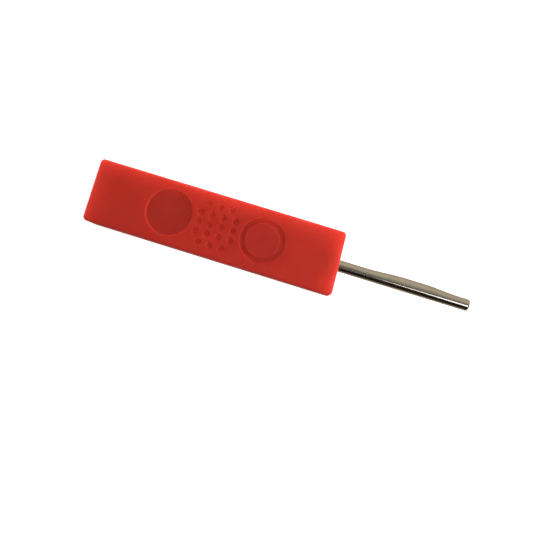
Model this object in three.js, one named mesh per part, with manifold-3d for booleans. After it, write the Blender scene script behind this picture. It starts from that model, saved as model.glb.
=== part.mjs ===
// A hand-held security tag detacher: a straight steel probe held in a two-piece moulded handle.
// Millimetres, +Z up. X runs along the tool towards the probe's tip, and Y across the handle.
// The origin is in the middle of the tool's box, on the plane that the handle rests on.

import * as THREE from 'three';
import { mergeVertices } from 'three/addons/utils/BufferGeometryUtils.js';
import Module from 'manifold-3d';

const wasm = await Module();
wasm.setup();

// Handle
const HANDLE_LENGTH = 88;
const HANDLE_WIDTH = 22;
const HANDLE_HEIGHT = 14;
const CORNER_RADIUS = 1.4; // the four upright corners
const EDGE_FILLET = 0.7; // round the top face and round the underside
const NOSE_WALL = 3; // the end wall that the probe comes out of
const NOSE_SLANT = 0.0575; // the nose end is 3.3 degrees off square, and longest on the -Y side
const FIT_GAP = 0.3; // between any two pieces

// Lap joint between the halves: a tongue round the upper one, in a groove of the lower one
const SEAM_Z = HANDLE_HEIGHT / 2;
const TONGUE_INSET = 1.3; // from the handle's outside to the tongue
const TONGUE_THICKNESS = 0.7;
const TONGUE_HEIGHT = 1;
const FUSE = 0.2; // how far the tongue reaches into the half that it grows from

// Grip pattern in the top face: a thumb recess, a block of dimples and a ring groove
const GRIP_MIDDLE = 0.35; // from the middle of the handle, towards the nose
const GRIP_OFFSET = 16.55; // from the middle of the pattern to the recess and to the ring
const RECESS_RADIUS = 8;
const RECESS_DEPTH = 0.6;
const RING_INNER_RADIUS = 6.1;
const RING_OUTER_RADIUS = 7.6;
const RING_DEPTH = 0.4;
const DIMPLE_RADIUS = 1.15;
const DIMPLE_FLOOR_RADIUS = 0.9;
const DIMPLE_DEPTH = 0.4;
const DIMPLE_ROWS = [3, 4, 4, 4, 3]; // dimples in each row, from one long edge to the other
const DIMPLE_PITCH_X = 4.15;
const DIMPLE_PITCH_Y = 3.35;

// Probe
const PROBE_REACH = 46.2; // outside the handle
const PROBE_RADIUS = 2.05;
const PROBE_Z = SEAM_Z;
const TIP_RADIUS = 0.8; // round the end of the probe
const TIP_DOME = 0.12;
const TAIL_CHAMFER = 0.4;
const LAND_HEIGHT = 0.6; // how far the cam land stands out of the probe's +Y side
const LAND_START = 9.7; // from the handle to the foot of the land
const LAND_RAMP_IN = 13;
const LAND_FLAT = 7.8;
const LAND_RAMP_OUT = 11.3;

// Anchor block, clamped between the halves, and the spring pin through it and the probe's shank
const BLOCK_X = 15.5; // its middle, from the middle of the handle
const BLOCK_LENGTH = 16;
const BLOCK_WIDTH = 10;
const BLOCK_HEIGHT = 7.4;
const BLOCK_CORNER = 0.8;
const PIN_RADIUS = 0.8;
const PIN_WALL = 0.3;
const PIN_SLOT = 0.35;

// Flanged bush behind the nose wall
const BUSH_RADIUS = 3.1;
const BUSH_LENGTH = 5.2;
const FLANGE_RADIUS = 3.9;
const FLANGE_THICKNESS = 1.3;
const FLANGE_X = HANDLE_LENGTH / 2 - NOSE_WALL - FIT_GAP; // the flange's face towards the nose wall

// Case screws, driven from below
const SCREW_PLACES_X = [-36, 29.5];
const SCREW_Y = 5.9;
const SCREW_HEAD_RADIUS = 2;
const SCREW_HEAD_HEIGHT = 1.5;
const SCREW_LENGTH = 7; // under the head
const THREAD_RADIUS = 1.1;
const THREAD_CORE = 0.8;
const THREAD_PITCH = 0.9;
const THREAD_TURNS = 4;
const DRIVE_WIDTH = 0.6; // one arm of the cross recess
const DRIVE_SPAN = 2.4;
const DRIVE_DEPTH = 0.9;
const COUNTERBORE_DEPTH = 2.6;
const PILOT_TOP_Z = 9.8;

const NOSE_X = HANDLE_LENGTH / 2;
const OVERALL_LENGTH = HANDLE_LENGTH + PROBE_REACH;
const UPPER_BOTTOM_Z = SEAM_Z + FIT_GAP / 2;
const LOWER_TOP_Z = SEAM_Z - FIT_GAP / 2;
const BLOCK_TOP_Z = SEAM_Z + BLOCK_HEIGHT / 2;
const BLOCK_BOTTOM_Z = SEAM_Z - BLOCK_HEIGHT / 2;
const BORE_RADIUS = PROBE_RADIUS + FIT_GAP;

const redPlastic = new THREE.MeshStandardMaterial({ color: 0xd23a2c, roughness: 0.5, metalness: 0 });
const polishedSteel = new THREE.MeshStandardMaterial({ color: 0xb4aea3, roughness: 0.22, metalness: 1 });
const milledSteel = new THREE.MeshStandardMaterial({ color: 0x8f9295, roughness: 0.5, metalness: 1 });
const springSteel = new THREE.MeshStandardMaterial({ color: 0x55565a, roughness: 0.4, metalness: 1 });
const turnedBrass = new THREE.MeshStandardMaterial({ color: 0xa9824a, roughness: 0.45, metalness: 1 });
const zincPlate = new THREE.MeshStandardMaterial({ color: 0xc3c6c8, roughness: 0.35, metalness: 1 });

// Solids and geometries

function toSolid(geometry) {
  geometry.deleteAttribute('normal');
  geometry.deleteAttribute('uv');
  const merged = mergeVertices(geometry);
  const triangles = [];
  const corners = merged.index.array;
  for (let i = 0; i < corners.length; i += 3) {
    const [a, b, c] = corners.slice(i, i + 3);
    if (a !== b && b !== c && c !== a) {
      triangles.push(a, b, c); // a turned shape has triangles with no area at its poles, which are dropped
    }
  }
  const vertProperties = new Float32Array(merged.attributes.position.array);
  const triVerts = new Uint32Array(triangles);
  return new wasm.Manifold(new wasm.Mesh({ numProp: 3, vertProperties, triVerts }));
}

function toMesh(name, solid, material) {
  const { vertProperties, triVerts } = solid.getMesh();
  const geometry = new THREE.BufferGeometry();
  geometry.setAttribute('position', new THREE.BufferAttribute(vertProperties, 3));
  geometry.setIndex(new THREE.BufferAttribute(triVerts, 1));
  geometry.computeVertexNormals();
  const mesh = new THREE.Mesh(geometry, material);
  mesh.name = name;
  return mesh;
}

function box(fromX, toX, fromY, toY, fromZ, toZ) {
  const geometry = new THREE.BoxGeometry(toX - fromX, toY - fromY, toZ - fromZ);
  geometry.translate((fromX + toX) / 2, (fromY + toY) / 2, (fromZ + toZ) / 2);
  return toSolid(geometry);
}

function roundedRectangle(fromX, toX, width, radius) {
  const shape = new THREE.Shape();
  const side = width / 2 - radius;
  shape.absarc(toX - radius, side, radius, 0, Math.PI / 2);
  shape.absarc(fromX + radius, side, radius, Math.PI / 2, Math.PI);
  shape.absarc(fromX + radius, -side, radius, Math.PI, 1.5 * Math.PI);
  shape.absarc(toX - radius, -side, radius, 1.5 * Math.PI, 2 * Math.PI);
  return shape;
}

function prism(shape, fromZ, toZ) {
  const depth = toZ - fromZ;
  const geometry = new THREE.ExtrudeGeometry(shape, { depth, bevelEnabled: false, curveSegments: 5 });
  return toSolid(geometry.translate(0, 0, fromZ));
}

function filletedPrism(shape, fromZ, toZ, fillet, steps) {
  const geometry = new THREE.ExtrudeGeometry(shape, {
    depth: toZ - fromZ - 2 * fillet,
    bevelThickness: fillet,
    bevelSize: fillet,
    bevelOffset: -fillet,
    bevelSegments: steps,
    curveSegments: 5,
  });
  return toSolid(geometry.translate(0, 0, fromZ + fillet));
}

function turned(profile, segments) {
  const points = profile.map(([radius, along]) => new THREE.Vector2(radius, along));
  return new THREE.LatheGeometry(points, segments);
}

function upright(profile, segments, x, y) {
  return toSolid(turned(profile, segments).rotateX(Math.PI / 2).translate(x, y, 0));
}

function pillar(radius, fromZ, toZ, x, y, segments = 24) {
  return upright([[0, fromZ], [radius, fromZ], [radius, toZ], [0, toZ]], segments, x, y);
}

function barAlongX(radius, fromX, toX) {
  const profile = [[0, fromX], [radius, fromX], [radius, toX], [0, toX]];
  return toSolid(turned(profile, 32).rotateZ(-Math.PI / 2).translate(0, 0, PROBE_Z));
}

// The handle's halves, solid but for their pockets and holes

// The outline that lies a given distance inside the handle's outline.
function insetOutline(inset) {
  const radius = Math.max(CORNER_RADIUS - inset, 0.4);
  return roundedRectangle(inset - NOSE_X, NOSE_X - inset, HANDLE_WIDTH - 2 * inset, radius);
}

function handleSlab(fromZ, toZ) {
  const whole = filletedPrism(insetOutline(0), 0, HANDLE_HEIGHT, EDGE_FILLET, 3);
  return whole.intersect(box(-NOSE_X, NOSE_X, -HANDLE_WIDTH, HANDLE_WIDTH, fromZ, toZ));
}

// Room for the anchor block, the bush and the probe, in both halves.
function pockets() {
  const blockOutline = roundedRectangle(
    BLOCK_X - BLOCK_LENGTH / 2 - FIT_GAP,
    BLOCK_X + BLOCK_LENGTH / 2 + FIT_GAP,
    BLOCK_WIDTH + 2 * FIT_GAP,
    BLOCK_CORNER,
  );
  return prism(blockOutline, BLOCK_BOTTOM_Z - FIT_GAP, BLOCK_TOP_Z + FIT_GAP)
    .add(barAlongX(BUSH_RADIUS + FIT_GAP, FLANGE_X - BUSH_LENGTH - FIT_GAP, FLANGE_X))
    .add(barAlongX(FLANGE_RADIUS + FIT_GAP, FLANGE_X - FLANGE_THICKNESS - FIT_GAP, FLANGE_X + FIT_GAP))
    .add(barAlongX(BORE_RADIUS, BLOCK_X, NOSE_X + 1));
}

// A frame round the handle between two insets, as the tongue and its groove are.
function frame(outerInset, innerInset, fromZ, toZ) {
  return prism(insetOutline(outerInset), fromZ, toZ).subtract(prism(insetOutline(innerInset), fromZ, toZ));
}

// Calls make(x, y) for each of the four screws and returns the results in order.
function atScrews(make) {
  const results = [];
  for (const x of SCREW_PLACES_X) {
    results.push(make(x, SCREW_Y), make(x, -SCREW_Y));
  }
  return results;
}

function gripPattern() {
  const above = HANDLE_HEIGHT + 1;
  const recess = pillar(RECESS_RADIUS, HANDLE_HEIGHT - RECESS_DEPTH, above, GRIP_MIDDLE - GRIP_OFFSET, 0, 64);
  const ringFloor = HANDLE_HEIGHT - RING_DEPTH;
  const ringProfile = [
    [RING_INNER_RADIUS, ringFloor],
    [RING_OUTER_RADIUS, ringFloor],
    [RING_OUTER_RADIUS, above],
    [RING_INNER_RADIUS, above],
    [RING_INNER_RADIUS, ringFloor],
  ];
  const cuts = [recess, upright(ringProfile, 64, GRIP_MIDDLE + GRIP_OFFSET, 0)];
  const dimpleFloor = HANDLE_HEIGHT - DIMPLE_DEPTH;
  const slope = (DIMPLE_RADIUS - DIMPLE_FLOOR_RADIUS) / DIMPLE_DEPTH;
  const mouthRadius = DIMPLE_RADIUS + slope * (above - HANDLE_HEIGHT);
  const dimpleProfile = [
    [0, dimpleFloor],
    [DIMPLE_FLOOR_RADIUS, dimpleFloor],
    [mouthRadius, above],
    [0, above],
  ];
  DIMPLE_ROWS.forEach((count, row) => {
    const y = (row - (DIMPLE_ROWS.length - 1) / 2) * DIMPLE_PITCH_Y;
    for (let i = 0; i < count; i++) {
      const x = GRIP_MIDDLE + (i - (count - 1) / 2) * DIMPLE_PITCH_X;
      cuts.push(upright(dimpleProfile, 14, x, y));
    }
  });
  return cuts.reduce((whole, cut) => whole.add(cut));
}

// Leans the nose wall over until its outer face has its slant. Its inner face stays square.
function slantNose(half) {
  return half.warp((corner) => {
    const share = THREE.MathUtils.clamp((corner[0] - NOSE_X + NOSE_WALL) / NOSE_WALL, 0, 1);
    corner[0] -= share * NOSE_SLANT * corner[1];
  });
}

function upperHalf() {
  const tongueTop = UPPER_BOTTOM_Z + FUSE;
  const tongueBottom = UPPER_BOTTOM_Z - TONGUE_HEIGHT;
  let half = handleSlab(UPPER_BOTTOM_Z, HANDLE_HEIGHT);
  half = half.add(frame(TONGUE_INSET, TONGUE_INSET + TONGUE_THICKNESS, tongueBottom, tongueTop));
  const pilotRadius = THREAD_RADIUS + FIT_GAP;
  for (const pilot of atScrews((x, y) => pillar(pilotRadius, UPPER_BOTTOM_Z - 1, PILOT_TOP_Z, x, y, 24))) {
    half = half.subtract(pilot);
  }
  return slantNose(half).subtract(pockets()).subtract(gripPattern());
}

function lowerHalf() {
  const grooveInset = TONGUE_INSET - FIT_GAP;
  const grooveInnerInset = TONGUE_INSET + TONGUE_THICKNESS + FIT_GAP;
  const grooveBottom = LOWER_TOP_Z - TONGUE_HEIGHT;
  let half = handleSlab(0, LOWER_TOP_Z);
  half = half.subtract(frame(grooveInset, grooveInnerInset, grooveBottom, SEAM_Z));
  const holeRadius = THREAD_RADIUS + FIT_GAP;
  const headRadius = SCREW_HEAD_RADIUS + FIT_GAP;
  const holeProfile = [
    [0, -1],
    [headRadius, -1],
    [headRadius, COUNTERBORE_DEPTH],
    [holeRadius, COUNTERBORE_DEPTH],
    [holeRadius, SEAM_Z],
    [0, SEAM_Z],
  ];
  for (const hole of atScrews((x, y) => upright(holeProfile, 24, x, y))) {
    half = half.subtract(hole);
  }
  return slantNose(half).subtract(pockets());
}

// The probe and what holds it

// How far the probe's +Y side stands out at a distance from the handle. That side is half an ellipse there.
function landAt(reach) {
  const rise = THREE.MathUtils.smoothstep(reach, LAND_START, LAND_START + LAND_RAMP_IN);
  const fallStart = LAND_START + LAND_RAMP_IN + LAND_FLAT;
  const fall = THREE.MathUtils.smoothstep(reach, fallStart, fallStart + LAND_RAMP_OUT);
  return LAND_HEIGHT * (rise - fall);
}

function probe() {
  const tail = BLOCK_X - BLOCK_LENGTH / 2 + FIT_GAP;
  const tip = NOSE_X + PROBE_REACH;
  const profile = [[0, tail], [PROBE_RADIUS - TAIL_CHAMFER, tail], [PROBE_RADIUS, tail + TAIL_CHAMFER]];
  const rampSteps = 6;
  const fallStart = LAND_START + LAND_RAMP_IN + LAND_FLAT;
  for (let i = 0; i <= rampSteps; i++) {
    profile.push([PROBE_RADIUS, NOSE_X + LAND_START + (LAND_RAMP_IN * i) / rampSteps]);
  }
  for (let i = 0; i <= rampSteps; i++) {
    profile.push([PROBE_RADIUS, NOSE_X + fallStart + (LAND_RAMP_OUT * i) / rampSteps]);
  }
  const arcSteps = 4;
  for (let i = 0; i <= arcSteps; i++) {
    const angle = (Math.PI / 2) * (i / arcSteps);
    const radius = PROBE_RADIUS - TIP_RADIUS + TIP_RADIUS * Math.cos(angle);
    profile.push([radius, tip - TIP_DOME - TIP_RADIUS + TIP_RADIUS * Math.sin(angle)]);
  }
  profile.push([0, tip]);
  const geometry = turned(profile, 24).rotateZ(-Math.PI / 2);
  const place = geometry.attributes.position;
  for (let i = 0; i < place.count; i++) {
    if (place.getY(i) > 0) {
      place.setY(i, place.getY(i) * (1 + landAt(place.getX(i) - NOSE_X) / PROBE_RADIUS));
    }
  }
  return toSolid(geometry.translate(0, 0, PROBE_Z)).subtract(pinHole());
}

function pinHole() {
  const radius = PIN_RADIUS + FIT_GAP;
  const geometry = new THREE.CylinderGeometry(radius, radius, BLOCK_WIDTH + 2, 16);
  return toSolid(geometry.translate(BLOCK_X, 0, PROBE_Z));
}

function anchorBlock() {
  const outline = roundedRectangle(
    BLOCK_X - BLOCK_LENGTH / 2,
    BLOCK_X + BLOCK_LENGTH / 2,
    BLOCK_WIDTH,
    BLOCK_CORNER,
  );
  const block = filletedPrism(outline, BLOCK_BOTTOM_Z, BLOCK_TOP_Z, 0.4, 1);
  const bore = barAlongX(BORE_RADIUS, BLOCK_X - BLOCK_LENGTH, BLOCK_X + BLOCK_LENGTH);
  return block.subtract(bore).subtract(pinHole());
}

// A rolled pin: a tube with a slot along its whole length.
function anchorPin() {
  const halfSlot = PIN_SLOT / 2 / PIN_RADIUS;
  const section = new THREE.Shape();
  section.absarc(0, 0, PIN_RADIUS, halfSlot, 2 * Math.PI - halfSlot);
  section.absarc(0, 0, PIN_RADIUS - PIN_WALL, 2 * Math.PI - halfSlot, halfSlot, true);
  const depth = BLOCK_WIDTH - 2 * FIT_GAP;
  const geometry = new THREE.ExtrudeGeometry(section, { depth, bevelEnabled: false, curveSegments: 14 });
  geometry.translate(0, 0, -depth / 2);
  return toSolid(geometry.rotateX(Math.PI / 2).translate(BLOCK_X, 0, PROBE_Z));
}

function noseBush() {
  const back = FLANGE_X - BUSH_LENGTH;
  const flangeBack = FLANGE_X - FLANGE_THICKNESS;
  const profile = [
    [BORE_RADIUS, back],
    [BUSH_RADIUS, back],
    [BUSH_RADIUS, flangeBack],
    [FLANGE_RADIUS, flangeBack],
    [FLANGE_RADIUS, FLANGE_X],
    [BORE_RADIUS, FLANGE_X],
    [BORE_RADIUS, back],
  ];
  return toSolid(turned(profile, 32).rotateZ(-Math.PI / 2).translate(0, 0, PROBE_Z));
}

// A pan-head screw standing on its head, with the head's outer face at z = 0.
function caseScrew() {
  const profile = [
    [0, 0],
    [SCREW_HEAD_RADIUS * 0.7, 0],
    [SCREW_HEAD_RADIUS, 0.5],
    [SCREW_HEAD_RADIUS, SCREW_HEAD_HEIGHT],
    [THREAD_CORE, SCREW_HEAD_HEIGHT],
  ];
  const tip = SCREW_HEAD_HEIGHT + SCREW_LENGTH;
  const threadStart = tip - THREAD_TURNS * THREAD_PITCH - 1;
  for (let turn = 0; turn < THREAD_TURNS; turn++) {
    const z = threadStart + turn * THREAD_PITCH;
    profile.push([THREAD_CORE, z], [THREAD_RADIUS, z + THREAD_PITCH / 2]);
  }
  profile.push([THREAD_CORE, tip - 1], [0, tip]);
  const armX = box(-DRIVE_SPAN / 2, DRIVE_SPAN / 2, -DRIVE_WIDTH / 2, DRIVE_WIDTH / 2, -1, DRIVE_DEPTH);
  const armY = box(-DRIVE_WIDTH / 2, DRIVE_WIDTH / 2, -DRIVE_SPAN / 2, DRIVE_SPAN / 2, -1, DRIVE_DEPTH);
  return upright(profile, 16, 0, 0).subtract(armX).subtract(armY);
}

// The assembly

const handle = new THREE.Group();
handle.add(toMesh('upper_half', upperHalf(), redPlastic));
handle.add(toMesh('lower_half', lowerHalf(), redPlastic));
handle.add(toMesh('anchor_block', anchorBlock(), milledSteel));
handle.add(toMesh('nose_bush', noseBush(), turnedBrass));

const screw = caseScrew();
const headZ = COUNTERBORE_DEPTH - FIT_GAP - SCREW_HEAD_HEIGHT;
atScrews((x, y) => new THREE.Vector3(x, y, headZ)).forEach((place, i) => {
  const mesh = toMesh(`case_screw_${i + 1}`, screw, zincPlate);
  mesh.position.copy(place);
  handle.add(mesh);
});

const probeAssembly = new THREE.Group();
probeAssembly.add(toMesh('probe', probe(), polishedSteel));
probeAssembly.add(toMesh('anchor_pin', anchorPin(), springSteel));

const detacher = new THREE.Group();
detacher.add(handle, probeAssembly);
detacher.position.x = (HANDLE_LENGTH - OVERALL_LENGTH) / 2;

export default detacher;
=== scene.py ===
import math
from math import cos, pi, sin

import bmesh
import bpy
from mathutils import Euler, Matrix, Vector

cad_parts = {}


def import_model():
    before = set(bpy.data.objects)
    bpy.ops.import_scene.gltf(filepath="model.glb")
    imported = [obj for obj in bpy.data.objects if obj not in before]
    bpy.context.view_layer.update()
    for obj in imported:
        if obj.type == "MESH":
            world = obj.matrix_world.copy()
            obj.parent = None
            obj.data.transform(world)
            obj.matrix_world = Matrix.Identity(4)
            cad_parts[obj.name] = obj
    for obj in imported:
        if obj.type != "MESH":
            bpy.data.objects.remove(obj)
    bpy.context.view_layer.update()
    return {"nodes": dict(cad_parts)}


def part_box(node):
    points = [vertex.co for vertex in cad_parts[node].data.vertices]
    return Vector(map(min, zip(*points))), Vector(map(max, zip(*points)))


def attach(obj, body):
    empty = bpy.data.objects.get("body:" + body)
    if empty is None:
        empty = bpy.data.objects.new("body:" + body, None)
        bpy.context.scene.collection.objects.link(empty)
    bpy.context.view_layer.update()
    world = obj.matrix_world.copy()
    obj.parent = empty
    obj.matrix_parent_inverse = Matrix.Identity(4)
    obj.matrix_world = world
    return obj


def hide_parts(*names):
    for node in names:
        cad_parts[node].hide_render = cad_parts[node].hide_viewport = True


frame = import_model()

# A hand-held security tag detacher in metres: X along the tool to the probe's tip, Z up.
MM = 0.001

# Camera: above the handle's near edge, looking almost straight down, with the tool turned in the picture.
CAMERA_PLACE = (0.01385, -0.01855, 0.26224)
CAMERA_TURN = tuple(math.radians(a) for a in (3.37, 2.70, 17.33))
LENS = 50

# Handle, both halves
HANDLE_LENGTH = 88 * MM
SEAM_GAP = 0.1 * MM
SEAM_CHAMFER = 0.15 * MM
CORNER_RADIUS = 1.4 * MM
EDGE_FILLET = 0.7 * MM
NOSE_WALL = 3 * MM
NOSE_SLANT = 0.0575  # the nose end is 3.3 degrees off square, and longest on the -Y side
CORNER_STEPS = 10
FILLET_STEPS = 8
SKIN = 0.6 * MM  # the outer layer that is made anew; what lies deeper is the CAD half's own inside
SKIN_LAP = 0.05 * MM
FACE_SKIN = 1.2 * MM  # the same under the grip face and over the underside
CORE_REACH = 5 * MM  # how far the core's box runs on past the seam
WELD = 0.001 * MM
FIT_GAP = 0.3 * MM  # round the probe, the pin and the screws
CUT_PLAY = 0.02 * MM  # how much wider a cut is than the CAD hole, so that none of its facets is left
BORE_MOUTH = 0.25 * MM

# Grip pattern, measured along the handle from its middle
GRIP_MIDDLE = 0.35 * MM
GRIP_OFFSET = 16.55 * MM
RECESS_RADIUS = 7.9 * MM
RECESS_DEPTH = 0.6 * MM
RECESS_ROUNDS = (0.26 * MM, 0.3 * MM)  # at the floor and at the rim
RING_INNER = 6.1 * MM
RING_OUTER = 7.6 * MM
RING_DEPTH = 0.4 * MM
RING_ROUNDS = (0.14 * MM, 0.23 * MM)
DIMPLE_RADIUS = 1.05 * MM
DIMPLE_DEPTH = 0.4 * MM
DIMPLE_ROUNDS = (0.14 * MM, 0.22 * MM)
DIMPLE_ROWS = (3, 4, 4, 4, 3)
DIMPLE_PITCH_X = 4.15 * MM
DIMPLE_PITCH_Y = 3.35 * MM
SUNK_FROM = 0.05 * MM  # depths under the grip face between which the recess has its smoother plastic, whose darker base colour is painted shade
SUNK_TO = 1 * MM
CLEAR = 1 * MM  # how far a cutter runs on past the surface it cuts

# Probe
PROBE_RADIUS = 2.05 * MM
TAIL_CHAMFER = 0.4 * MM
TIP_RADIUS = 0.8 * MM
TIP_DOME = 0.12 * MM
LAND_HEIGHT = 0.6 * MM
LAND_START = 9.7 * MM  # from the handle's nose
LAND_RAMP_IN = 13 * MM
LAND_FLAT = 7.8 * MM
LAND_RAMP_OUT = 11.3 * MM
LAND_STEPS = 90
PIN_RADIUS = 0.8 * MM
PIN_HOLE_REACH = 3 * MM

# Screws
HEAD_RADIUS = 2 * MM
HEAD_HEIGHT = 1.5 * MM
HEAD_EDGE = 0.5 * MM
HEAD_CHAMFER = 0.1 * MM
THREAD_RADIUS = 1.1 * MM
THREAD_CORE = 0.8 * MM
THREAD_PITCH = 0.9 * MM
THREAD_TURNS = 4
# One turn: radius, and share of the pitch
THREAD_TURN = ((THREAD_CORE, 0), (THREAD_CORE, 0.25), (THREAD_RADIUS, 0.55), (THREAD_RADIUS, 0.65))
POINT_LENGTH = 1 * MM
POINT_RADIUS = 0.05 * MM
COUNTERBORE_DEPTH = 2.6 * MM
COUNTERBORE_LIP = 0.2 * MM
# The cross recess: height over the head's face, half length and half width of an arm, in millimetres
DRIVE_LEVELS = ((-0.3, 1.28, 0.36), (0, 1.2, 0.32), (0.95, 0.55, 0.22))
SCREW_NAMES = [f"case_screw_{i}" for i in range(1, 5)]

# Red plastic
SCATTER = 16 * MM
SCATTER_SHARE = 0.66
SPECULAR = 0.2
PALE_MIX = 0.051
PALE_TONES = ((0.72, 0.72, 0.42), (0.78, 0.78, 0.46))
MOTTLE_SCALE = 90
GLOSS_SCALE = 900
GLOSS_SPREAD = 0.05
GRAIN_SCALE = 5200
GRAIN_DEPTH = 0.012 * MM


# ---------- places from the frame ----------

_, upper_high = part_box("upper_half")
handle_low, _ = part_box("lower_half")
probe_low, probe_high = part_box("probe")
block_low, block_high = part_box("anchor_block")
handle_high = Vector((handle_low.x + HANDLE_LENGTH, upper_high.y, upper_high.z))
handle_middle = (handle_low + handle_high) / 2
grip_x = handle_middle.x + GRIP_MIDDLE
recess_x = grip_x - GRIP_OFFSET
nose_x = handle_high.x
seam_z = handle_middle.z
probe_z = probe_low.z + PROBE_RADIUS
block_middle = (block_low + block_high) / 2


# ---------- mesh building ----------

def arc(centre, radius, start, end, steps):
    """Points on an arc from one angle to another, in degrees."""
    angles = [math.radians(start + (end - start) * i / steps) for i in range(steps + 1)]
    return [(centre[0] + radius * cos(a), centre[1] + radius * sin(a)) for a in angles]


def circle(centre, radius, along, axis, segments):
    """A ring of points round an axis through centre."""
    points = []
    for i in range(segments):
        a = 2 * pi * i / segments
        u, v = radius * cos(a), radius * sin(a)
        offset = {"x": (along, u, v), "y": (v, along, u), "z": (u, v, along)}[axis]
        points.append(Vector(centre) + Vector(offset))
    return points


def add_loft(bm, rings, closed=False):
    """Adds a closed skin through rings of points. Its ends are flat, or meet if closed is true."""
    rows = [[bm.verts.new(point) for point in ring] for ring in rings]
    for row, following in zip(rows, rows[1:] + rows[:1] if closed else rows[1:]):
        for i in range(len(row)):
            j = (i + 1) % len(row)
            bm.faces.new((row[i], row[j], following[j], following[i]))
    if not closed:
        bm.faces.new(reversed(rows[0]))
        bm.faces.new(rows[-1])


def add_turned(bm, profile, centre, axis, segments, closed=False):
    rings = [circle(centre, radius, along, axis, segments) for radius, along in profile]
    add_loft(bm, rings, closed)


def to_object(name, bm):
    bmesh.ops.recalc_face_normals(bm, faces=bm.faces)
    mesh = bpy.data.meshes.new(name)
    bm.to_mesh(mesh)
    bm.free()
    obj = bpy.data.objects.new(name, mesh)
    bpy.context.scene.collection.objects.link(obj)
    return obj


def combine(target, operation, tool):
    """Joins, cuts or intersects target with tool, and uses the tool up."""
    modifier = target.modifiers.new("combine", "BOOLEAN")
    modifier.operation = operation
    modifier.solver = "MANIFOLD"
    modifier.object = tool
    graph = bpy.context.evaluated_depsgraph_get()
    mesh = bpy.data.meshes.new_from_object(target.evaluated_get(graph))
    target.modifiers.clear()
    target.data = mesh
    bpy.data.objects.remove(tool)


def smooth(obj, angle=30):
    """Smooth shading inside the sharp edges, with the flat faces kept flat."""
    obj.data.shade_smooth()
    obj.data.set_sharp_from_angle(angle=math.radians(angle))
    weighted = obj.modifiers.new("weighted_normals", "WEIGHTED_NORMAL")
    weighted.keep_sharp = True
    return obj


def cad_copy(node):
    """A watertight copy of a CAD node's mesh."""
    bm = bmesh.new()
    bm.from_mesh(frame["nodes"][node].data)
    bmesh.ops.remove_doubles(bm, verts=bm.verts, dist=WELD)
    return to_object("tool", bm)


# ---------- materials ----------

def new_material(name):
    material = bpy.data.materials.new(name)
    material.use_nodes = True
    nodes, links = material.node_tree.nodes, material.node_tree.links
    return material, nodes, links, nodes["Principled BSDF"]


def noise(nodes, links, scale, detail=2.0, stretch=(1, 1, 1)):
    """Noise in the object's own metres. stretch squeezes it along an axis."""
    place = nodes.new("ShaderNodeTexCoord")
    mapping = nodes.new("ShaderNodeMapping")
    mapping.inputs["Scale"].default_value = stretch
    texture = nodes.new("ShaderNodeTexNoise")
    texture.inputs["Scale"].default_value = scale
    texture.inputs["Detail"].default_value = detail
    links.new(place.outputs["Object"], mapping.inputs["Vector"])
    links.new(mapping.outputs["Vector"], texture.inputs["Vector"])
    return texture.outputs["Fac"]


def ranged(nodes, links, value, low, high):
    spread = nodes.new("ShaderNodeMapRange")
    spread.inputs["From Min"].default_value = 0.3
    spread.inputs["From Max"].default_value = 0.7
    spread.inputs["To Min"].default_value = low
    spread.inputs["To Max"].default_value = high
    links.new(value, spread.inputs["Value"])
    return spread.outputs["Result"]


def two_tone(nodes, links, value, dark, light):
    ramp = nodes.new("ShaderNodeValToRGB")
    ramp.color_ramp.elements[0].position = 0.35
    ramp.color_ramp.elements[0].color = (*dark, 1)
    ramp.color_ramp.elements[1].position = 0.65
    ramp.color_ramp.elements[1].color = (*light, 1)
    links.new(value, ramp.inputs["Fac"])
    return ramp.outputs["Color"]


def bump(nodes, links, height, depth, strength, shader):
    node = nodes.new("ShaderNodeBump")
    node.inputs["Strength"].default_value = strength
    node.inputs["Distance"].default_value = depth
    links.new(height, node.inputs["Height"])
    links.new(node.outputs["Normal"], shader.inputs["Normal"])


def red_plastic(name, dark, light, rough, grain):
    """Moulded translucent red plastic: a fine spark-eroded grain over a faint mottle.

    A small share of it scatters all colours alike, so that light spreading in from the edges keeps its hue.
    """
    material, nodes, links, shader = new_material(name)
    mottle = noise(nodes, links, MOTTLE_SCALE, 3)
    shine = noise(nodes, links, GLOSS_SCALE, 3)
    gloss = ranged(nodes, links, shine, rough - GLOSS_SPREAD, rough + GLOSS_SPREAD)
    fine = noise(nodes, links, GRAIN_SCALE, 2)
    pale = nodes.new("ShaderNodeBsdfPrincipled")
    links.new(two_tone(nodes, links, mottle, dark, light), shader.inputs["Base Color"])
    links.new(two_tone(nodes, links, mottle, *PALE_TONES), pale.inputs["Base Color"])
    for node in (shader, pale):
        links.new(gloss, node.inputs["Roughness"])
        bump(nodes, links, fine, GRAIN_DEPTH, grain, node)
        node.inputs["Specular IOR Level"].default_value = SPECULAR
        node.inputs["Subsurface Weight"].default_value = SCATTER_SHARE
        node.inputs["Subsurface Radius"].default_value = (1.0, 1.0, 1.0)
        node.inputs["Subsurface Scale"].default_value = SCATTER
    mixed = nodes.new("ShaderNodeMixShader")
    mixed.inputs[0].default_value = PALE_MIX
    links.new(shader.outputs[0], mixed.inputs[1])
    links.new(pale.outputs[0], mixed.inputs[2])
    links.new(mixed.outputs[0], nodes["Material Output"].inputs["Surface"])
    return material


def metal(name, dark, light, rough, streaks, stretch, depth=0.002 * MM):
    """Bare or plated metal whose polishing lines run along the axis that stretch squeezes least."""
    material, nodes, links, shader = new_material(name)
    lines = noise(nodes, links, streaks, 3, stretch)
    links.new(two_tone(nodes, links, noise(nodes, links, 300, 2), dark, light), shader.inputs["Base Color"])
    links.new(ranged(nodes, links, lines, rough - 0.05, rough + 0.06), shader.inputs["Roughness"])
    bump(nodes, links, lines, depth, 0.3, shader)
    shader.inputs["Metallic"].default_value = 1.0
    return material


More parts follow.
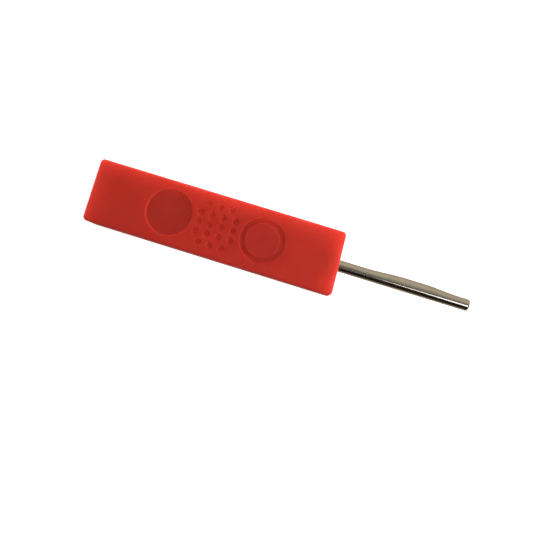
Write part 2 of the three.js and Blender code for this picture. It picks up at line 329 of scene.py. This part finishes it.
def dress(obj, *materials):
    obj.data.materials.clear()
    for material in materials:
        obj.data.materials.append(material)


# ---------- handle ----------

def slanted(point):
    """Moves a point of the nose wall with its slant, which the wall's inner face doesn't have."""
    share = min(max((point.x - nose_x + NOSE_WALL) / NOSE_WALL, 0), 1)
    return Vector((point.x - share * NOSE_SLANT * point.y, point.y, point.z))


def outline(inset, z):
    """The handle's rounded outline at one height, a given distance inside its widest."""
    radius = CORNER_RADIUS - inset
    low = Vector((handle_low.x + CORNER_RADIUS, handle_low.y + CORNER_RADIUS))
    high = Vector((handle_high.x - CORNER_RADIUS, handle_high.y - CORNER_RADIUS))
    points = []
    for i, (x, y) in enumerate(((high.x, high.y), (low.x, high.y), (low.x, low.y), (high.x, low.y))):
        points += arc((x, y), radius, 90 * i, 90 * i + 90, CORNER_STEPS)
    return [slanted(Vector((x, y, z))) for x, y in points]


def half_body(outer_z, side):
    """One half of the handle as a solid, from the seam to its outer face. side is 1 for the upper half."""
    seam = seam_z + side * SEAM_GAP / 2
    rings = [outline(SEAM_CHAMFER, seam), outline(0, seam + side * SEAM_CHAMFER)]
    for reach, inset in arc((0, 0), EDGE_FILLET, 90, 0, FILLET_STEPS):
        rings.append(outline(EDGE_FILLET - inset, outer_z - side * (EDGE_FILLET - reach)))
    bm = bmesh.new()
    add_loft(bm, rings)
    return bm


def moulding(name, node, outer_z, side, cutters):
    """A fine outer skin over the CAD half's own inside, then the cuts that pass through both."""
    body = to_object(name, half_body(outer_z, side))
    far = seam_z - side * CORE_REACH
    deep = outer_z - side * FACE_SKIN

    def core(inset):
        """A box that a given thickness of skin goes round, on all sides but the seam's."""
        low, high = handle_low + Vector((inset, inset, 0)), handle_high - Vector((inset, inset, 0))
        corners = ((low.x, low.y), (high.x, low.y), (high.x, high.y), (low.x, high.y))
        bm = bmesh.new()
        levels = sorted((far, deep + side * (SKIN - inset)))
        add_loft(bm, [[slanted(Vector((x, y, z))) for x, y in corners] for z in levels])
        return to_object("tool", bm)

    inside = cad_copy(node)
    combine(inside, "INTERSECT", core(SKIN))
    combine(body, "DIFFERENCE", core(SKIN + SKIN_LAP))
    combine(body, "UNION", inside)
    for cutter in cutters:
        combine(body, "DIFFERENCE", cutter)
    return smooth(body)


def recess_cutter():
    """The thumb recess, with a round at its rim and a smaller one at its floor."""
    top = handle_high.z
    floor_round, rim_round = RECESS_ROUNDS
    profile = arc((RECESS_RADIUS - floor_round, top - RECESS_DEPTH + floor_round), floor_round, -90, 0, 6)
    profile += arc((RECESS_RADIUS + rim_round, top - rim_round), rim_round, 180, 90, 6)
    profile.append((RECESS_RADIUS + rim_round, top + CLEAR))
    bm = bmesh.new()
    add_turned(bm, profile, (recess_x, 0, 0), "z", 128)
    return to_object("tool", bm)


def ring_cutter():
    """The ring groove round the level disc."""
    top = handle_high.z
    floor_round, rim_round = RING_ROUNDS
    floor = top - RING_DEPTH + floor_round
    profile = [(RING_INNER - rim_round, top + CLEAR)]
    profile += arc((RING_INNER - rim_round, top - rim_round), rim_round, 90, 0, 5)
    profile += arc((RING_INNER + floor_round, floor), floor_round, 180, 270, 5)
    profile += arc((RING_OUTER - floor_round, floor), floor_round, 270, 360, 5)
    profile += arc((RING_OUTER + rim_round, top - rim_round), rim_round, 180, 90, 5)
    profile.append((RING_OUTER + rim_round, top + CLEAR))
    bm = bmesh.new()
    add_turned(bm, profile, (grip_x + GRIP_OFFSET, 0, 0), "z", 128, closed=True)
    return to_object("tool", bm)


def dimple_cutter():
    top = handle_high.z
    floor_round, rim_round = DIMPLE_ROUNDS
    profile = arc((DIMPLE_RADIUS - floor_round, top - DIMPLE_DEPTH + floor_round), floor_round, -90, 0, 5)
    profile += arc((DIMPLE_RADIUS + rim_round, top - rim_round), rim_round, 180, 90, 4)
    profile.append((DIMPLE_RADIUS + rim_round, top + CLEAR))
    bm = bmesh.new()
    for row, count in enumerate(DIMPLE_ROWS):
        y = (row - (len(DIMPLE_ROWS) - 1) / 2) * DIMPLE_PITCH_Y
        for i in range(count):
            x = grip_x + (i - (count - 1) / 2) * DIMPLE_PITCH_X
            add_turned(bm, profile, (x, y, 0), "z", 32)
    return to_object("tool", bm)


def bore_cutter():
    """The probe's way out of the handle, with a small round at its mouth."""
    radius, mouth = PROBE_RADIUS + FIT_GAP + CUT_PLAY, BORE_MOUTH
    profile = [(radius, block_middle.x)]
    profile += arc((radius + mouth, nose_x - mouth), mouth, 180, 90, 4)
    profile.append((radius + mouth, nose_x + CLEAR))
    bm = bmesh.new()
    add_turned(bm, profile, (0, 0, probe_z), "x", 64)
    return to_object("tool", bm)


def screw_hole_cutter():
    """Four counterbored holes from the underside up to the seam."""
    head = HEAD_RADIUS + FIT_GAP + CUT_PLAY
    hole = THREAD_RADIUS + FIT_GAP + CUT_PLAY
    lip = COUNTERBORE_LIP
    bottom = handle_low.z
    profile = [(head + lip, bottom - CLEAR), (head + lip, bottom), (head, bottom + lip)]
    profile += [(head, bottom + COUNTERBORE_DEPTH), (hole, bottom + COUNTERBORE_DEPTH), (hole, seam_z)]
    bm = bmesh.new()
    for node in SCREW_NAMES:
        low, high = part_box(node)
        middle = (low + high) / 2
        add_turned(bm, profile, (middle.x, middle.y, 0), "z", 48)
    return to_object("tool", bm)


def smooth_and_shade_recess(obj):
    """Gives the floor and wall of the thumb recess the second plastic, smoother and with a darker base colour
    that is painted shade.
    """
    reach = RECESS_RADIUS + RECESS_ROUNDS[1]
    for face in obj.data.polygons:
        away = math.hypot(face.center.x - recess_x, face.center.y)
        depth = handle_high.z - face.center.z
        if away < reach and SUNK_FROM < depth < SUNK_TO:
            face.material_index = 1


# ---------- probe ----------

def land_at(reach):
    """How far the +Y side, half an ellipse there, stands out at a distance from the nose."""
    def smoothstep(value):
        t = min(max(value, 0), 1)
        return t * t * (3 - 2 * t)

    rise = smoothstep((reach - LAND_START) / LAND_RAMP_IN)
    fall = smoothstep((reach - LAND_START - LAND_RAMP_IN - LAND_FLAT) / LAND_RAMP_OUT)
    return LAND_HEIGHT * (rise - fall)


def probe():
    tail, tip = probe_low.x, probe_high.x
    profile = [(PROBE_RADIUS - TAIL_CHAMFER, tail), (PROBE_RADIUS, tail + TAIL_CHAMFER)]
    start = nose_x + LAND_START
    end = tip - TIP_DOME - TIP_RADIUS
    profile += [(PROBE_RADIUS, start + (end - start) * i / LAND_STEPS) for i in range(LAND_STEPS)]
    flat = PROBE_RADIUS - TIP_RADIUS
    profile += arc((flat, end), TIP_RADIUS, 0, 90, 10)
    for share in (0.8, 0.6, 0.4, 0.2, 0.02):
        profile.append((flat * share, tip - TIP_DOME * share ** 2))
    bm = bmesh.new()
    add_turned(bm, profile, (0, 0, probe_z), "x", 96)
    for vertex in bm.verts:
        if vertex.co.y > 0:
            vertex.co.y *= 1 + land_at(vertex.co.x - nose_x) / PROBE_RADIUS
    obj = to_object("steel_probe", bm)
    hole = bmesh.new()
    radius = PIN_RADIUS + FIT_GAP
    wall = [(radius, -PIN_HOLE_REACH), (radius, PIN_HOLE_REACH)]
    add_turned(hole, wall, (block_middle.x, 0, probe_z), "y", 32)
    combine(obj, "DIFFERENCE", to_object("tool", hole))
    return smooth(obj, 40)


# ---------- screws ----------

def screw(node):
    low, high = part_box(node)
    middle = (low + high) / 2
    seat = low.z + HEAD_HEIGHT
    shaft_end = high.z - POINT_LENGTH
    profile = [(HEAD_RADIUS - HEAD_EDGE * 1.3, low.z)]
    profile += arc((HEAD_RADIUS - HEAD_EDGE, low.z + HEAD_EDGE), HEAD_EDGE, -75, 0, 6)
    profile += [(HEAD_RADIUS, seat - HEAD_CHAMFER), (HEAD_RADIUS - HEAD_CHAMFER, seat), (THREAD_CORE, seat)]
    first = shaft_end - THREAD_TURNS * THREAD_PITCH
    for i in range(THREAD_TURNS):
        for radius, share in THREAD_TURN:
            profile.append((radius, first + (i + share) * THREAD_PITCH))
    profile += [(THREAD_CORE, shaft_end), (POINT_RADIUS, high.z)]
    bm = bmesh.new()
    add_turned(bm, profile, (middle.x, middle.y, 0), "z", 48)
    obj = to_object(node.replace("case_", "zinc_"), bm)
    for wide, narrow in (((1, 0), (0, 1)), ((0, 1), (1, 0))):
        combine(obj, "DIFFERENCE", drive_arm(middle, low.z, wide, narrow))
    return smooth(obj)


def drive_arm(middle, bottom, along, across):
    """One arm of the screw's cross recess, which narrows towards its floor."""
    rings = []
    for z, length, width in DRIVE_LEVELS:
        ring = []
        for u, v in ((-1, -1), (1, -1), (1, 1), (-1, 1)):
            x = middle.x + (along[0] * u * length + across[0] * v * width) * MM
            y = middle.y + (along[1] * u * length + across[1] * v * width) * MM
            ring.append(Vector((x, y, bottom + z * MM)))
        rings.append(ring)
    bm = bmesh.new()
    add_loft(bm, rings)
    return to_object("tool", bm)


# ---------- the object ----------

face_red = red_plastic("red_plastic", (0.72, 0.004, 0.003), (0.78, 0.005, 0.004), 0.46, 0.35)
# Smoother, less grainy plastic for the thumb recess; its darker base colour is painted shade in the recess.
smooth_shaded_red = red_plastic("red_plastic_smooth_painted_shade", (0.63, 0.004, 0.003), (0.69, 0.005, 0.004), 0.40, 0.20)
probe_steel = metal("probe_steel", (0.62, 0.58, 0.52), (0.68, 0.64, 0.57), 0.13, 5000, (0.015, 1, 1))
block_steel = metal("block_steel", (0.30, 0.30, 0.31), (0.38, 0.38, 0.39), 0.45, 3000, (0.05, 1, 1))
pin_steel = metal("pin_steel", (0.10, 0.10, 0.11), (0.15, 0.15, 0.16), 0.40, 3000, (1, 0.05, 1))
bush_brass = metal("bush_brass", (0.50, 0.34, 0.13), (0.60, 0.42, 0.18), 0.35, 3000, (1, 0.05, 0.05))
screw_zinc = metal("screw_zinc", (0.55, 0.57, 0.60), (0.66, 0.66, 0.64), 0.32, 2500, (1, 1, 0.1))

upper = moulding(
    "upper_moulding", "upper_half", handle_high.z, 1,
    (recess_cutter(), ring_cutter(), dimple_cutter(), bore_cutter()),
)
dress(upper, face_red, smooth_shaded_red)
smooth_and_shade_recess(upper)
lower = moulding(
    "lower_moulding", "lower_half", handle_low.z, -1,
    (screw_hole_cutter(), bore_cutter()),
)
dress(lower, face_red)
rod = probe()
dress(rod, probe_steel)

shown = [
    (upper, "upper_half", "red_plastic"),
    (lower, "lower_half", "red_plastic"),
    (rod, "probe", "probe_steel"),
]
for node in SCREW_NAMES:
    piece = screw(node)
    dress(piece, screw_zinc)
    shown.append((piece, node, "screw_zinc"))
for piece, node, slot in shown:
    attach(piece, "root")
    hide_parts(node)

for node, material in (("anchor_block", block_steel), ("anchor_pin", pin_steel), ("nose_bush", bush_brass)):
    kept = frame["nodes"][node]
    kept.material_slots[0].link = "OBJECT"
    kept.material_slots[0].material = material


# ---------- floor, light and camera ----------

def area_light(name, place, size, power, mirrored=False):
    """A softbox facing the tool. It lights dull surfaces, or is only mirrored in shiny ones."""
    data = bpy.data.lights.new(name, "AREA")
    data.shape = "RECTANGLE"
    data.size, data.size_y = size
    data.energy = power
    light = bpy.data.objects.new(name, data)
    light.location = place
    light.rotation_euler = (-Vector(place)).to_track_quat("-Z", "Y").to_euler()
    light.visible_glossy = mirrored
    light.visible_diffuse = not mirrored
    bpy.context.scene.collection.objects.link(light)


def floor():
    bm = bmesh.new()
    half = 2.5
    corners = [bm.verts.new((x * half, y * half, 0)) for x, y in ((-1, -1), (1, -1), (1, 1), (-1, 1))]
    bm.faces.new(corners)
    obj = to_object("studio_floor", bm)
    material, nodes, links, shader = new_material("studio_floor")
    shader.inputs["Base Color"].default_value = (0.92, 0.92, 0.92, 1)
    shader.inputs["Roughness"].default_value = 0.9
    shader.inputs["Specular IOR Level"].default_value = 0.0
    shader.inputs["Emission Color"].default_value = (1, 1, 1, 1)
    shader.inputs["Emission Strength"].default_value = 0.85
    dress(obj, material)
    obj.visible_diffuse = False
    obj.visible_glossy = False
    obj.visible_shadow = False


# What polished metal mirrors round the tool, by the angle from straight up (0) to the front (90), in degrees.
SURROUNDINGS = (
    (-180, (0.42, 0.38, 0.30)),
    (-112, (0.50, 0.43, 0.32)),
    (-84, (0.56, 0.48, 0.36)),
    (-56, (0.60, 0.53, 0.42)),
    (-38, (0.50, 0.46, 0.38)),
    (-20, (0.33, 0.30, 0.25)),
    (0, (0.16, 0.145, 0.12)),
    (24, (0.11, 0.095, 0.085)),
    (38, (0.040, 0.032, 0.032)),
    (50, (0.012, 0.009, 0.010)),
    (72, (0.008, 0.005, 0.004)),
    (86, (0.030, 0.020, 0.012)),
    (98, (0.10, 0.07, 0.04)),
    (118, (0.30, 0.25, 0.19)),
    (136, (0.44, 0.39, 0.31)),
    (180, (0.42, 0.38, 0.30)),
)


def world():
    scene_world = bpy.data.worlds.new("studio")
    bpy.context.scene.world = scene_world
    scene_world.use_nodes = True
    nodes, links = scene_world.node_tree.nodes, scene_world.node_tree.links
    background = nodes["Background"]
    place = nodes.new("ShaderNodeTexCoord")
    split = nodes.new("ShaderNodeSeparateXYZ")
    links.new(place.outputs["Generated"], split.inputs[0])
    front = nodes.new("ShaderNodeMath")
    front.operation = "MULTIPLY"
    front.inputs[1].default_value = -1
    links.new(split.outputs["Y"], front.inputs[0])
    angle = nodes.new("ShaderNodeMath")
    angle.operation = "ARCTAN2"
    links.new(front.outputs[0], angle.inputs[0])
    links.new(split.outputs["Z"], angle.inputs[1])
    share = nodes.new("ShaderNodeMapRange")
    share.inputs["From Min"].default_value = -pi
    share.inputs["From Max"].default_value = pi
    links.new(angle.outputs[0], share.inputs["Value"])
    ramp = nodes.new("ShaderNodeValToRGB")
    links.new(share.outputs["Result"], ramp.inputs["Fac"])
    stops = ramp.color_ramp.elements
    while len(stops) > 1:
        stops.remove(stops[-1])
    for i, (degrees, colour) in enumerate(SURROUNDINGS):
        stop = stops[0] if i == 0 else stops.new((degrees + 180) / 360)
        stop.position = (degrees + 180) / 360
        stop.color = (*colour, 1)
    rays = nodes.new("ShaderNodeLightPath")
    mirrored = nodes.new("ShaderNodeMix")
    mirrored.data_type = "RGBA"
    mirrored.inputs["A"].default_value = (0.18, 0.18, 0.18, 1)
    links.new(rays.outputs["Is Glossy Ray"], mirrored.inputs["Factor"])
    links.new(ramp.outputs["Color"], mirrored.inputs["B"])
    seen = nodes.new("ShaderNodeMix")
    seen.data_type = "RGBA"
    seen.inputs["B"].default_value = (1, 1, 1, 1)
    links.new(rays.outputs["Is Camera Ray"], seen.inputs["Factor"])
    links.new(mirrored.outputs["Result"], seen.inputs["A"])
    links.new(seen.outputs["Result"], background.inputs["Color"])


def camera():
    data = bpy.data.cameras.new("camera")
    data.lens = LENS
    data.clip_start = 0.01
    data.clip_end = 20
    obj = bpy.data.objects.new("camera", data)
    obj.location = CAMERA_PLACE
    obj.rotation_euler = Euler(CAMERA_TURN)
    bpy.context.scene.collection.objects.link(obj)
    bpy.context.scene.camera = obj


floor()
world()
area_light("back_softbox", (0, 0.55, 0.05), (1.2, 0.14), 4.5)
area_light("right_softbox", (0.65, 0.1, 0.05), (0.8, 0.14), 5.2)
area_light("left_softbox", (-0.65, 0.1, 0.03), (0.8, 0.14), 3.4)
area_light("top_softbox", (0.24, 0.03, 0.24), (0.3, 0.3), 0.70)
area_light("high_softbox", (0.47, -0.41, 0.95), (0.45, 0.6), 2.0, mirrored=True)
camera()
bpy.context.scene.view_settings.view_transform = "Standard"
